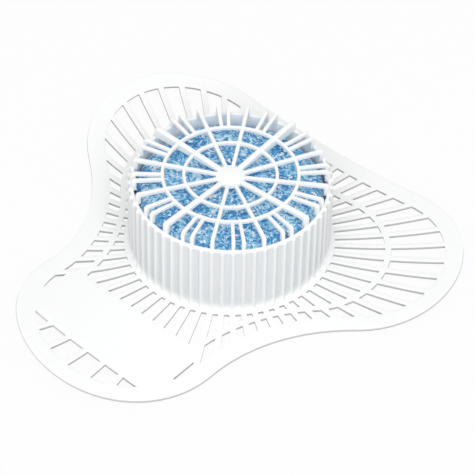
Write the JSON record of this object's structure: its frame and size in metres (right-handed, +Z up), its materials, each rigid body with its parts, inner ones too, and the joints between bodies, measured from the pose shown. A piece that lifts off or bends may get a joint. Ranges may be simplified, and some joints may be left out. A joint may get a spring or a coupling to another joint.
{
  "type": "urinal deodorizer screen",
  "caption": "Slotted three-lobed drain mat moulded in one with a round fluted basket, whose spoked cage holds a blue deodorizer block.",
  "frame": {"origin": "under the middle of the whole part, on the plane that the foot rests on; the basket's axis stands 18.5 mm from it towards +Y", "axes": "+Z up along the basket's axis; -Y points from the basket to the tab lobe with the blank label plate; +X to the right seen from above with the tab lobe towards the viewer"},
  "size_m": [0.1752, 0.173, 0.0382],
  "materials": {
    "white_plastic": "satin, soft flexible vinyl",
    "blue_block": "pressed flakes, waxy and sparkling"
  },
  "bodies": {
    "root": {"screen": "white_plastic", "deodorizer_block": "blue_block"}
  },
  "joints": []
}
